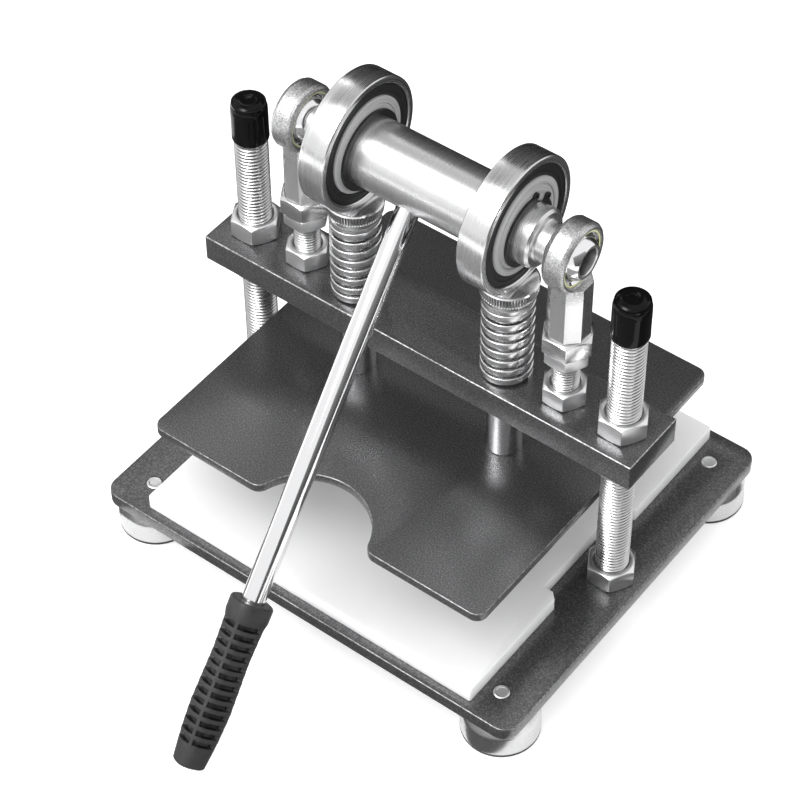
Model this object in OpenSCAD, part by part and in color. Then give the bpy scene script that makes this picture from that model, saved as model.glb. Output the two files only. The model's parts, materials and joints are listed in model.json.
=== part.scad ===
// Manual die cutting machine: a lever turns an eccentric shaft whose two
// roller bearings press a spring-loaded platen down onto a cutting board.
// The origin is the centre of the cutting board's top face; X runs along the
// cross beam, Y to the back and Z up. All sizes are in millimetres.

/* [Base] */
// Width of the base plate
base_w = 300; // [270:1:360]
// Depth of the base plate
base_d = 260; // [240:1:320]
// Thickness of the base plate
base_t = 9; // [6:0.5:16]
// Corner radius of the base plate
base_r = 10; // [4:0.5:20]
// Bevel on the edges of the steel plates
plate_bevel = 0.6; // [0.2:0.1:1]

/* [Cutting board] */
// Bare margin of the base plate at the sides of the cutting board
board_margin_x = 31; // [30:0.5:45]
// Bare margin of the base plate in front of and behind the cutting board
board_margin_y = 6; // [3:0.5:25]
// Thickness of the cutting board
board_t = 10; // [6:0.5:16]
// Length of the notches beside the posts
notch_l = 76; // [50:1:110]
// Depth of the notches beside the posts
notch_d = 10; // [6:0.5:14]
// Bevel at the mouth of the notches
notch_bevel = 4; // [1:0.5:6]

/* [Feet] */
// Diameter of a foot
foot_d = 47; // [36:0.5:48]
// Height of the metal cup of a foot
foot_h = 20.5; // [17:0.5:30]
// Thickness of the rubber pad under a foot
pad_t = 1.5; // [1:0.25:4]
// Distance of the feet's axes from the base plate's side edges
foot_inset_x = 21; // [20:0.5:28]
// Distance of the feet's axes from the base plate's front and back edges
foot_inset_y = 22.5; // [20:0.5:32]
// Diameter of a foot screw
foot_screw_d = 10; // [6:0.5:12]
// Length of a foot screw
foot_screw_l = 24; // [18:0.5:26]

/* [Posts] */
// Diameter of the threaded posts
post_d = 20; // [16:0.5:22]
// Distance of the posts' axes from the base plate's side edges
post_inset = 20; // [17:0.5:21]
// Height of the post tops above the board
post_top = 218; // [200:1:240]
// Length of a post below the base plate
post_tail = 16; // [14.5:0.5:18]
// Width across the flats of the post nuts
post_nut_af = 27; // [26:0.5:32]
// Height of the post nuts
post_nut_h = 13.5; // [8:0.5:14]
// Length of the caps on the posts
cap_l = 27.5; // [18:0.5:34]
// Wall of the caps on the posts
cap_wall = 0.9; // [0.6:0.1:2]

/* [Beam] */
// How far the cross beam reaches past the base plate's sides
beam_overhang = 0.5; // [-2:0.5:14]
// Depth of the cross beam
beam_d = 46; // [42:0.5:60]
// Thickness of the cross beam
beam_t = 18; // [12:0.5:26]
// Height of the beam's underside above the board
beam_z = 100.5; // [92:0.5:110]

/* [Platen] */
// Inset of the platen's side edges from the board's
platen_inset_x = 1; // [0.5:0.5:16]
// Inset of the platen's front and back edges from the board's
platen_inset_y = 9; // [1:0.5:20]
// Thickness of the platen
platen_t = 6; // [5:0.5:12]
// Open height between board and platen
daylight = 50; // [34:0.5:56]
// Corner radius of the platen
platen_r = 7; // [3:0.5:12]
// Radius of the cut-out in the platen's front edge
cut_r = 38.5; // [24:0.5:50]
// Depth of the cut-out in the platen's front edge
cut_depth = 32; // [20:0.5:36]
// Radius of the lips beside the cut-out
lip_r = 8; // [3:0.5:12]

/* [Push rods and springs] */
// Diameter of the push rods
rod_d = 22; // [18:0.5:24]
// Distance of the push rods' axes from the rod ends' axes
rod_inset = 38; // [36:0.5:41]
// Place of the push rods in front of the shaft
rod_front = 2.5; // [0:0.5:6]
// Diameter of a push rod's head at its top
head_d = 34.4; // [31:0.2:38]
// Diameter of a push rod's head at its bottom
head_foot_d = 31; // [30:0.2:33]
// Height of the knurled head of a push rod
head_h = 12; // [9:0.5:15]
// Bevel on the head's rims
head_bevel = 0.8; // [0.3:0.1:1.5]
// Depth of the push rod's seat in its head
head_seat = 7; // [4:0.5:8]
// Diameter of the platen screws
platen_screw_d = 8; // [5:0.5:10]
// Length of the platen screws
platen_screw_l = 22; // [14:0.5:30]
// Outer diameter of the springs
spring_d = 30.4; // [30:0.1:32]
// Radial width of the flat spring wire
wire_w = 2.6; // [1.8:0.1:2.7]
// Height of the flat spring wire
wire_h = 4.6; // [2:0.1:4.8]
// Turns of a spring
spring_turns = 7.5; // [5:0.5:8]

/* [Rod ends] */
// Distance of the rod ends' axes from the posts' axes
stud_inset = 39; // [36:0.5:40]
// Outer diameter of a rod end's eye
eye_d = 41.4; // [40:0.2:46]
// Width of a rod end's eye
eye_w = 14; // [12:0.5:16]
// Diameter of the liner's seat in the eye
liner_d = 34; // [33.5:0.2:36]
// Diameter of the rod end's ball
ball_d = 29; // [28.6:0.2:30]
// Width of the rod end's ball
ball_w = 21; // [18:0.5:22]
// Width across the flats of the shank
shank_af = 23; // [20:0.5:24]
// Width across the flats of the collar under the shank
collar_af = 27; // [25:0.5:30]
// Height of the collar under the shank
collar_h = 12; // [8:0.5:14]
// Diameter of the threaded studs
stud_d = 16; // [12:0.5:18]
// Depth of the stud in the rod end
stud_depth = 30; // [18:0.5:34]
// Width across the flats of the stud nuts
stud_nut_af = 24; // [22:0.5:27]
// Height of the nuts that clamp the studs to the beam
stud_nut_h = 12.5; // [8:0.5:14]
// Height of the lock nuts under the rod ends
lock_nut_h = 9.3; // [6:0.1:12]
// Free length of a stud between beam nut and lock nut
stud_free = 19; // [10:0.5:26]
// Height of the shaft axis above the rod end's shoulder
eye_rise = 69.4; // [60:0.2:76]

/* [Eccentric shaft] */
// Diameter of the shaft's middle bar
bar_d = 40.8; // [38:0.2:44]
// Diameter of the stubs that carry the bearings
stub_d = 35; // [32:0.5:36]
// Diameter of the necks outside the stubs
neck_d = 24; // [18:0.5:26]
// Diameter of the shaft in the rod end balls
journal_d = 16; // [12:0.5:17]
// Offset of the bearings from the shaft axis
throw = 3; // [1:0.25:4]
// Length of a stub outside its bearing
stub_out = 12; // [8:0.5:14]
// Thickness of the retaining rings
ring_t = 1.6; // [1:0.1:2]
// Radial width of the retaining rings
ring_w = 4.2; // [3:0.1:4.4]
// Depth of the grooves for the retaining rings
groove_depth = 0.8; // [0.4:0.1:1.2]
// Thickness of the spacer rings inside the bearings
spacer_t = 1.5; // [1:0.1:3]
// Outer diameter of the spacer rings
spacer_d = 49; // [46:0.2:50]

/* [Bearings] */
// Outer diameter of the bearings
bearing_d = 82; // [78:0.5:86]
// Width of the bearings
bearing_w = 17; // [15:0.5:19]
// Bore of the bearings
bearing_bore = 50; // [48.5:0.1:51]
// Wall of the inner ring
inner_wall = 4.2; // [3.4:0.1:4.6]
// Wall of the outer ring
outer_wall = 4.6; // [3.6:0.1:5]
// Diameter of the bearing balls
bearing_ball_d = 9.5; // [9:0.1:9.8]
// Number of bearing balls
bearing_balls = 14; // [8:1:16]
// Thickness of the bearing seals
seal_t = 1.2; // [0.8:0.1:1.6]
// Depth of the bearing seals below the rings' faces
seal_recess = 1; // [0.4:0.1:1.2]
// Width of the ball cage
cage_w = 12; // [10.5:0.1:12.2]
// Wall of the ball cage
cage_wall = 2.4; // [1.6:0.1:3]

/* [Lever] */
// Diameter of the lever rod
lever_d = 14; // [10:0.5:16]
// Length of the lever from the shaft axis to the end of the grip
lever_l = 354.5; // [300:0.5:358]
// Place of the lever along the shaft
lever_x = -8.5; // [-12:0.5:12]
// Angle of the lever below the horizontal
lever_drop = 47; // [30:0.1:48]
// Lean of the lever along the shaft
lever_lean = 2.9; // [-4:0.05:4]
// Depth of the lever rod beyond the shaft axis
lever_seat = 10; // [6:0.5:14]
// Length of the rubber grip
grip_l = 101; // [80:1:130]
// Diameter of the grip's collar
grip_collar_d = 26; // [24:0.2:30]
// Diameter of the grip's waist
grip_waist_d = 22.6; // [20.6:0.2:23]
// Diameter of the grip's swell
grip_swell_d = 24.6; // [23:0.2:27]
// Diameter of the grip's end
grip_end_d = 19.4; // [18.6:0.2:22]
// Length of the plain collar of the grip
grip_collar_l = 7; // [5:0.5:10]
// Length of the plain end of the grip
grip_end_l = 12; // [8:0.5:16]
// Number of grooves round the grip
grip_grooves = 12; // [4:1:14]
// Depth of the grooves round the grip
grip_groove_depth = 0.8; // [0.4:0.1:1.2]
// Width of the grooves round the grip
grip_groove_w = 2.2; // [1:0.1:3]

/* [Fits] */
// Radial clearance of running and sliding fits
run_gap = 0.05; // [0.02:0.01:0.1]
// Radial clearance of screws in their holes
screw_gap = 0.15; // [0.1:0.05:0.4]
// Gap between a bearing and its push rod's head
press_gap = 0.3; // [0.3:0.1:0.6]

/* [Hidden] */

// Widths and distances that follow from the sizes above
board_w = base_w - 2 * board_margin_x;
board_d = base_d - 2 * board_margin_y;
beam_l = base_w + 2 * beam_overhang;
platen_w = board_w - 2 * platen_inset_x;
platen_d = board_d - 2 * platen_inset_y;
foot_span_x = base_w - 2 * foot_inset_x;
foot_span_y = base_d - 2 * foot_inset_y;
post_span = base_w - 2 * post_inset;
rod_end_span = post_span - 2 * stud_inset;
rod_span = rod_end_span - 2 * rod_inset;
// Heights that follow from the sizes above
base_top = -board_t;
base_bottom = base_top - base_t;
cup_bottom = base_bottom - foot_h;
beam_top = beam_z + beam_t;
stud_nut_top = beam_top + stud_nut_h;
lock_nut_z = stud_nut_top + stud_free;
shoulder_z = lock_nut_z + lock_nut_h;
axis_z = shoulder_z + eye_rise;
roller_z = axis_z + throw;
head_top = roller_z - bearing_d / 2 - press_gap;
head_bottom = head_top - head_h;
platen_top = daylight + platen_t;
collar_top = shoulder_z + collar_h;
// Places along the shaft
bearing_x = rod_span / 2;
bearing_in = bearing_x - bearing_w / 2;
bearing_out = bearing_x + bearing_w / 2;
rod_end_x = rod_end_span / 2;
stub_end = bearing_out + stub_out;
journal_start = rod_end_x - ball_w / 2;
shaft_end = rod_end_x + ball_w / 2 - 2.5;
stub_bevel = 1.5;
// Radii of the bearing's race
race_r = (bearing_bore / 2 + inner_wall + bearing_d / 2 - outer_wall) / 2;
groove_r = bearing_ball_d / 2 + run_gap;
inner_r = bearing_bore / 2 + inner_wall;
outer_r = bearing_d / 2 - outer_wall;
ring_bevel = 0.8;
// Section of the spring's wire
coil_r = (spring_d - wire_w) / 2;
coil_rings = 8;
wire_sides = 6;
spring_end = wire_h;
// How far a cutting tool runs past a face
eps = 1;
$fn = 64;

// Plate with round corners in the XY plane, its bottom at z = 0
module round_outline(w, d, r) {
    square([w - 2 * r, d], center = true);
    square([w, d - 2 * r], center = true);
    for (sx = [-1, 1], sy = [-1, 1])
        translate([sx * (w / 2 - r), sy * (d / 2 - r)]) circle(r = r);
}

// Solid of revolution about the X axis from pairs of x and radius
module turned_x(profile) {
    rotate([0, 90, 0]) rotate_extrude() polygon([for (p = profile) [p[1], p[0]]]);
}

// Ring about the X axis between two places and two radii
module ring_x(x0, x1, r_in, r_out, bevel = 0) {
    turned_x([[x0, r_in], [x0, r_out - bevel], [x0 + bevel, r_out],
        [x1 - bevel, r_out], [x1, r_out - bevel], [x1, r_in]]);
}

// Hexagon nut about the Z axis with bevelled corners, its bottom at z = 0
module nut(af, h, bore_r) {
    corner_r = af / sqrt(3);
    drop = (corner_r - af / 2) * tan(30);
    difference() {
        intersection() {
            cylinder(r = corner_r, h = h, $fn = 6);
            rotate_extrude() polygon([[0, 0], [af / 2, 0], [corner_r, drop],
                [corner_r, h - drop], [af / 2, h], [0, h]]);
        }
        translate([0, 0, -eps]) cylinder(r = bore_r, h = h + 2 * eps);
    }
}

// Upright bar with bevelled ends
module bar_z(r, z0, z1, bevel) {
    rotate_extrude() polygon([[0, z0], [r - bevel, z0], [r, z0 + bevel],
        [r, z1 - bevel], [r - bevel, z1], [0, z1]]);
}

module at_posts() {
    for (s = [-1, 1]) translate([s * post_span / 2, 0, 0]) children();
}

module at_studs() {
    for (s = [-1, 1]) translate([s * rod_end_x, 0, 0]) children();
}

module at_feet() {
    for (sx = [-1, 1], sy = [-1, 1])
        translate([sx * foot_span_x / 2, sy * foot_span_y / 2, 0]) children();
}

module at_rods() {
    for (s = [-1, 1]) translate([s * rod_span / 2, -rod_front, 0]) children();
}

// Base
module base_plate() {
    color("dimgray") difference() {
        translate([0, 0, base_bottom]) linear_extrude(base_t) round_outline(base_w, base_d, base_r);
        translate([0, 0, base_bottom - eps]) {
            at_posts() cylinder(r = post_d / 2 + screw_gap, h = base_t + 2 * eps);
            at_feet() cylinder(r = foot_screw_d / 2 + screw_gap, h = base_t + 2 * eps);
        }
    }
}

module cutting_board() {
    color("white") translate([0, 0, base_top]) linear_extrude(board_t) difference() {
        square([board_w, board_d], center = true);
        for (s = [-1, 1]) translate([s * board_w / 2, 0]) polygon([
            [s * eps, -notch_l / 2 - notch_bevel - eps], [s * eps, notch_l / 2 + notch_bevel + eps],
            [0, notch_l / 2 + notch_bevel], [-s * notch_bevel, notch_l / 2],
            [-s * notch_d, notch_l / 2], [-s * notch_d, -notch_l / 2],
            [-s * notch_bevel, -notch_l / 2], [0, -notch_l / 2 - notch_bevel]]);
    }
}

module foot_cups() {
    color("silver") at_feet() difference() {
        translate([0, 0, cup_bottom]) rotate_extrude() polygon([[0, 0], [foot_d / 2, 0],
            [foot_d / 2, foot_h - 1], [foot_d / 2 - 1, foot_h], [0, foot_h]]);
        translate([0, 0, base_top - foot_screw_l - screw_gap])
            cylinder(r = foot_screw_d / 2 + screw_gap, h = foot_screw_l + eps);
    }
}

module foot_pads() {
    color("black") at_feet() translate([0, 0, cup_bottom - pad_t])
        rotate_extrude() polygon([[0, 0], [foot_d / 2 - 1.2, 0], [foot_d / 2 - 0.4, 0.8],
            [foot_d / 2 - 0.4, pad_t], [0, pad_t]]);
}

module foot_screws() {
    color("lightgray") at_feet()
        bar_z(foot_screw_d / 2, base_top - foot_screw_l, base_top + 0.3, 0.8);
}

// Posts
module post(side) {
    color("lightgray") translate([side * post_span / 2, 0, 0])
        bar_z(post_d / 2, base_bottom - post_tail, post_top, 1.5);
}

module left_post() { post(-1); }

module right_post() { post(1); }

module base_upper_nuts() {
    color("silver") at_posts() translate([0, 0, base_top])
        nut(post_nut_af, post_nut_h, post_d / 2 + run_gap);
}

module base_lower_nuts() {
    color("silver") at_posts() translate([0, 0, base_bottom - post_nut_h])
        nut(post_nut_af, post_nut_h, post_d / 2 + run_gap);
}

module post_caps() {
    r_in = post_d / 2 + run_gap;
    r_out = r_in + cap_wall;
    top = post_top + 2 * cap_wall;
    color("black") at_posts() rotate_extrude() polygon([[r_in, top - cap_l], [r_out, top - cap_l],
        [r_out, top - 1.5], [r_out - 1.5, top], [0, top], [0, post_top + run_gap], [r_in, post_top + run_gap]]);
}

// Beam
module beam() {
    color("dimgray") difference() {
        translate([-beam_l / 2, -beam_d / 2, beam_z]) cube([beam_l, beam_d, beam_t]);
        translate([0, 0, beam_z - eps]) {
            at_posts() cylinder(r = post_d / 2 + run_gap, h = beam_t + 2 * eps);
            at_studs() cylinder(r = stud_d / 2 + screw_gap, h = beam_t + 2 * eps);
            at_rods() cylinder(r = rod_d / 2 + run_gap, h = beam_t + 2 * eps);
        }
    }
}

module beam_upper_nuts() {
    color("silver") at_posts() translate([0, 0, beam_top])
        nut(post_nut_af, post_nut_h, post_d / 2 + run_gap);
}

module beam_lower_nuts() {
    color("silver") at_posts() translate([0, 0, beam_z - post_nut_h])
        nut(post_nut_af, post_nut_h, post_d / 2 + run_gap);
}

module studs() {
    color("lightgray") at_studs()
        bar_z(stud_d / 2, beam_z - stud_nut_h - 3, shoulder_z + stud_depth, 1.2);
}

module stud_seat_nuts() {
    color("silver") at_studs() translate([0, 0, beam_top])
        nut(stud_nut_af, stud_nut_h, stud_d / 2 + run_gap);
}

module stud_lock_nuts() {
    color("silver") at_studs() translate([0, 0, lock_nut_z])
        nut(stud_nut_af, lock_nut_h, stud_d / 2 + run_gap);
}

module stud_lower_nuts() {
    color("silver") at_studs() translate([0, 0, beam_z - stud_nut_h])
        nut(stud_nut_af, stud_nut_h, stud_d / 2 + run_gap);
}

// Rod ends
module rod_end(side) {
    color("gainsboro") translate([side * rod_end_x, 0, 0]) difference() {
        union() {
            translate([0, 0, axis_z]) ring_x(-eye_w / 2, eye_w / 2, 0, eye_d / 2, 1.2);
            rotate([0, 0, 22.5]) translate([0, 0, collar_top - eps])
                cylinder(r = shank_af / 2 / cos(22.5), h = axis_z - collar_top - liner_d / 2, $fn = 8);
            translate([0, 0, shoulder_z]) nut(collar_af, collar_h, stud_d / 2 + run_gap);
        }
        translate([0, 0, axis_z]) ring_x(-shank_af, shank_af, 0, liner_d / 2);
        translate([0, 0, shoulder_z - eps])
            cylinder(r = stud_d / 2 + run_gap, h = stud_depth + run_gap + eps);
    }
}

module left_rod_end() { rod_end(-1); }

module right_rod_end() { rod_end(1); }

module liner(side) {
    color("khaki") translate([side * rod_end_x, 0, axis_z]) difference() {
        ring_x(-eye_w / 2 + 0.8, eye_w / 2 - 0.8, 0, liner_d / 2 - run_gap);
        sphere(d = ball_d + 2 * run_gap);
    }
}

module left_liner() { liner(-1); }

module right_liner() { liner(1); }

module rod_ball(side) {
    color("silver") translate([side * rod_end_x, 0, axis_z]) difference() {
        intersection() {
            sphere(d = ball_d);
            translate([-ball_w / 2, -ball_d, -ball_d]) cube([ball_w, 2 * ball_d, 2 * ball_d]);
        }
        ring_x(-ball_d, ball_d, 0, journal_d / 2 + run_gap);
    }
}

module left_rod_ball() { rod_ball(-1); }

module right_rod_ball() { rod_ball(1); }

// Springs: one tube of flat wire wound along a helix, with upright ends
function spring_rings() = round(spring_turns * coil_rings);

// Height that the winding climbs between its upright ends
function spring_climb() = head_bottom - beam_top - 2 * spring_end;

function coil_point(i) = let (a = 360 * i / coil_rings)
    [coil_r * cos(a), coil_r * sin(a), beam_top + spring_end + spring_climb() * i / spring_rings()];

// Six corners of the wire about the point of ring i
function coil_section(i) = let (a = 360 * i / coil_rings, p = coil_point(i))
    [for (k = [0 : wire_sides - 1]) let (b = 360 * k / wire_sides, u = wire_w / 2 * cos(b))
        [p[0] + u * cos(a), p[1] + u * sin(a), p[2] + wire_h / 2 * sin(b)]];

// Six corners of an upright end at height z, beside ring i
function end_section(i, z, way) = let (a = 360 * i / coil_rings, p = coil_point(i))
    [for (k = [0 : wire_sides - 1]) let (b = 360 * k / wire_sides, u = wire_w / 2 * cos(b),
        v = -way * wire_h / 2 * sin(b) - wire_h * way)
        [p[0] + u * cos(a) - v * sin(a), p[1] + u * sin(a) + v * cos(a), z]];

function spring_sections() = concat(
    [end_section(0, beam_top, 1)],
    [end_section(0, beam_top + spring_end - wire_h / 2, 1)],
    [for (i = [0 : spring_rings()]) coil_section(i)],
    [end_section(spring_rings(), head_bottom - spring_end + wire_h / 2, -1)],
    [end_section(spring_rings(), head_bottom, -1)]);

// Least distance between turns of the winding, less the wire's own height
function coil_gap() = min([for (i = [0 : spring_rings()], j = [0 : spring_rings()])
    if (j > i + coil_rings / 2) norm(coil_point(j) - coil_point(i))]) - wire_h;

module spring(side) {
    s = spring_sections();
    n = wire_sides;
    last = len(s) - 1;
    points = [for (r = s) each r];
    walls = [for (i = [0 : last - 1], k = [0 : n - 1]) let (m = (k + 1) % n)
        each [[i * n + k, i * n + m, (i + 1) * n + m], [i * n + k, (i + 1) * n + m, (i + 1) * n + k]]];
    ends = [for (k = [1 : n - 2]) each [[0, k + 1, k], [last * n, last * n + k, last * n + k + 1]]];
    echo("least gap between spring turns", coil_gap());
    color("whitesmoke") translate([side * rod_span / 2, -rod_front, 0])
        polyhedron(points = points, faces = concat(walls, ends));
}

module left_spring() { spring(-1); }

module right_spring() { spring(1); }

// Eccentric shaft
module eccentric_shaft() {
    r_groove = stub_d / 2 - groove_depth;
    half = [[0, 0], [0, bar_d / 2], [bearing_in, bar_d / 2], [bearing_in, stub_d / 2],
        [bearing_out, stub_d / 2], [bearing_out, r_groove], [bearing_out + ring_t + 2 * run_gap, r_groove],
        [bearing_out + ring_t + 2 * run_gap, stub_d / 2],
        [stub_end - stub_bevel, stub_d / 2], [stub_end, stub_d / 2 - stub_bevel], [stub_end, neck_d / 2],
        [journal_start - run_gap, neck_d / 2], [journal_start - run_gap, journal_d / 2],
        [shaft_end - 1, journal_d / 2], [shaft_end, journal_d / 2 - 1], [shaft_end, 0]];
    color("lightgray") difference() {
        translate([0, 0, axis_z]) {
            turned_x(half);
            mirror([1, 0, 0]) turned_x(half);
        }
        on_lever() translate([0, 0, -lever_seat - run_gap])
            cylinder(r = lever_d / 2 + run_gap, h = lever_seat + bar_d);
    }
}

module at_roller(side) {
    translate([side * bearing_x, 0, roller_z]) children();
}

module eccentric_bush(side) {
    color("gray") difference() {
        at_roller(side) ring_x(-bearing_w / 2, bearing_w / 2, 0, bearing_bore / 2 - run_gap, 0.5);
        translate([side * bearing_x, 0, axis_z]) ring_x(-bearing_w, bearing_w, 0, stub_d / 2 + run_gap);
    }
}

module left_eccentric_bush() { eccentric_bush(-1); }

module right_eccentric_bush() { eccentric_bush(1); }

module race_groove() {
    rotate([0, 90, 0]) rotate_extrude() translate([race_r, 0]) circle(r = groove_r);
}

module inner_ring(side) {
    color("silver") at_roller(side) difference() {
        ring_x(-bearing_w / 2, bearing_w / 2, bearing_bore / 2, inner_r, 0.3);
        race_groove();
    }
}

module left_inner_ring() { inner_ring(-1); }

module right_inner_ring() { inner_ring(1); }

module outer_ring(side) {
    color("silver") at_roller(side) difference() {
        ring_x(-bearing_w / 2, bearing_w / 2, outer_r, bearing_d / 2, ring_bevel);
        race_groove();
    }
}

module left_outer_ring() { outer_ring(-1); }

module right_outer_ring() { outer_ring(1); }

module ball_row(d) {
    for (i = [0 : bearing_balls - 1])
        rotate([360 * i / bearing_balls, 0, 0]) translate([0, 0, race_r]) sphere(d = d, $fn = 32);
}

module left_bearing_balls() { color("white") at_roller(-1) ball_row(bearing_ball_d); }

module right_bearing_balls() { color("white") at_roller(1) ball_row(bearing_ball_d); }

module cage(side) {
    color("goldenrod") at_roller(side) difference() {
        ring_x(-cage_w / 2, cage_w / 2, race_r - cage_wall / 2, race_r + cage_wall / 2);
        ball_row(bearing_ball_d + 4 * run_gap);
    }
}

module left_cage() { cage(-1); }

module right_cage() { cage(1); }

module seals(side) {
    x1 = bearing_w / 2 - seal_recess;
    color("black") at_roller(side) for (m = [0, 1]) mirror([m, 0, 0])
        ring_x(x1 - seal_t, x1, inner_r + 2 * run_gap, outer_r - run_gap);
}

module left_seals() { seals(-1); }

module right_seals() { seals(1); }

// Retaining rings with an open gap and two lugs at the gap
module retaining_rings() {
    r_in = stub_d / 2 - groove_depth + run_gap;
    r_out = r_in + ring_w;
    lug_r = 2.2;
    gap_half = 14;
    color("black") for (s = [-1, 1])
        translate([s * (bearing_out + run_gap + ring_t / 2), 0, axis_z]) rotate([-35, 0, 0])
            rotate([0, 90, 0]) linear_extrude(ring_t, center = true) difference() {
                union() {
                    difference() {
                        circle(r = r_out);
                        polygon([[0, 0], 2 * r_out * [-cos(gap_half), sin(gap_half)],
                            2 * r_out * [-cos(gap_half), -sin(gap_half)]]);
                    }
                    for (m = [-1, 1]) rotate(180 + m * (gap_half + 4))
                        translate([r_out + lug_r / 4, 0]) circle(r = lug_r);
                }
                circle(r = r_in);
                for (m = [-1, 1]) rotate(180 + m * (gap_half + 4))
                    translate([r_out + lug_r / 4, 0]) circle(r = 0.9);
            }
}

module spacer_rings() {
    color("black") for (s = [-1, 1])
        translate([s * (bearing_in - run_gap - spacer_t / 2), 0, axis_z])
            ring_x(-spacer_t / 2, spacer_t / 2, bar_d / 2 + run_gap, spacer_d / 2);
}

// Lever: local Z runs from the shaft axis out to the grip
module on_lever() {
    translate([lever_x, 0, axis_z]) rotate([90 + lever_drop, 0, 0])
        rotate([0, lever_lean, 0]) children();
}

module lever_rod() {
    color("whitesmoke") on_lever()
        bar_z(lever_d / 2, -lever_seat, lever_l - 6, 1);
}

// Grip outline as knots of distance from the collar and radius
function grip_knots() = [
    [0, grip_collar_d / 2 - 1], [1, grip_collar_d / 2], [grip_collar_l, grip_collar_d / 2],
    [grip_collar_l + 4, grip_waist_d / 2 + 0.6], [0.33 * grip_l, grip_waist_d / 2],
    [0.66 * grip_l, grip_swell_d / 2], [0.82 * grip_l, grip_swell_d / 2 - 0.8],
    [grip_l - 1, grip_end_d / 2], [grip_l, grip_end_d / 2 - 1]];

function grip_radius(t) = lookup(t, grip_knots());

// Grooves spread over the part between the collar and the plain end
function groove_at(i) = grip_collar_l + 7
    + (grip_l - grip_end_l - grip_collar_l - 10) * i / (grip_grooves - 1);

module lever_grip() {
    seat = lever_d / 2 + run_gap;
    inner_end = grip_l - 6 + run_gap;
    start = [for (k = grip_knots()) if (k[0] < groove_at(0) - grip_groove_w) [k[1], k[0]]];
    middle = [for (i = [0 : grip_grooves - 1]) let (t = groove_at(i), w = grip_groove_w / 2)
        each [[grip_radius(t - w), t - w], [grip_radius(t) - grip_groove_depth, t - w / 2],
            [grip_radius(t) - grip_groove_depth, t + w / 2], [grip_radius(t + w), t + w]]];
    finish = [for (k = grip_knots()) if (k[0] > groove_at(grip_grooves - 1) + grip_groove_w) [k[1], k[0]]];
    color("darkslategray") on_lever() translate([0, 0, lever_l - grip_l]) rotate_extrude()
        polygon(concat([[seat, 0]], start, middle, finish, [[0, grip_l], [0, inner_end], [seat, inner_end]]));
}

// Platen
module platen_outline() {
    front = -platen_d / 2;
    centre = front + cut_depth - cut_r;
    lip_y = front + lip_r;
    lip_x = sqrt(pow(cut_r + lip_r, 2) - pow(lip_y - centre, 2));
    difference() {
        round_outline(platen_w, platen_d, platen_r);
        translate([0, centre]) circle(r = cut_r);
        difference() {
            polygon([[-lip_x, front - eps], [-lip_x, lip_y], [0, centre], [lip_x, lip_y], [lip_x, front - eps]]);
            for (s = [-1, 1]) translate([s * lip_x, lip_y]) circle(r = lip_r);
        }
    }
}

module platen() {
    head_r = platen_screw_d;
    color("dimgray") difference() {
        translate([0, 0, daylight]) linear_extrude(platen_t) platen_outline();
        at_rods() translate([0, 0, daylight]) {
            translate([0, 0, -eps]) cylinder(r = platen_screw_d / 2 + screw_gap, h = platen_t + 2 * eps);
            translate([0, 0, -0.01]) cylinder(r1 = head_r + screw_gap, r2 = platen_screw_d / 2 + screw_gap,
                h = head_r - platen_screw_d / 2);
        }
    }
}

module platen_screws() {
    head_r = platen_screw_d;
    r = platen_screw_d / 2;
    color("gray") at_rods() translate([0, 0, daylight + 0.2]) difference() {
        rotate_extrude() polygon([[0, 0], [head_r - 0.8, 0], [head_r - 0.8, 0.2], [r, head_r - r - 0.2],
            [r, platen_screw_l], [0, platen_screw_l]]);
        translate([0, 0, -eps]) cylinder(r = platen_screw_d / 3, h = 2.4 + eps, $fn = 6);
    }
}

module push_rod(side) {
    color("silver") translate([side * rod_span / 2, -rod_front, 0]) difference() {
        bar_z(rod_d / 2, platen_top, head_bottom + head_seat, 0.5);
        translate([0, 0, platen_top - eps])
            cylinder(r = platen_screw_d / 2 + screw_gap, h = platen_screw_l - platen_t + 1.5 + eps);
    }
}

module left_push_rod() { push_rod(-1); }

module right_push_rod() { push_rod(1); }

module push_head(side) {
    color("gainsboro") translate([side * rod_span / 2, -rod_front, 0]) difference() {
        rotate_extrude() polygon([[0, head_bottom], [head_foot_d / 2, head_bottom],
            [head_d / 2, head_top - 2 * head_bevel], [head_d / 2, head_top - head_bevel],
            [head_d / 2 - head_bevel, head_top], [0, head_top]]);
        translate([0, 0, head_bottom - eps]) cylinder(r = rod_d / 2 + run_gap, h = head_seat + run_gap + eps);
    }
}

module left_push_head() { push_head(-1); }

module right_push_head() { push_head(1); }

base_plate();
cutting_board();
foot_cups();
foot_pads();
foot_screws();
left_post();
right_post();
base_upper_nuts();
base_lower_nuts();
post_caps();
beam();
beam_upper_nuts();
beam_lower_nuts();
studs();
stud_seat_nuts();
stud_lock_nuts();
stud_lower_nuts();
left_rod_end();
right_rod_end();
left_liner();
right_liner();
left_spring();
right_spring();
eccentric_shaft();
left_rod_ball();
right_rod_ball();
left_eccentric_bush();
right_eccentric_bush();
left_inner_ring();
right_inner_ring();
left_bearing_balls();
right_bearing_balls();
left_cage();
right_cage();
retaining_rings();
spacer_rings();
lever_rod();
lever_grip();
left_outer_ring();
right_outer_ring();
left_seals();
right_seals();
platen();
left_push_rod();
right_push_rod();
left_push_head();
right_push_head();
platen_screws();
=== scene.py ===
"""Looks of a manual die cutting machine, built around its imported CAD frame."""
import json
import math

import bmesh
import bpy
from mathutils import Matrix, Vector


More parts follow.
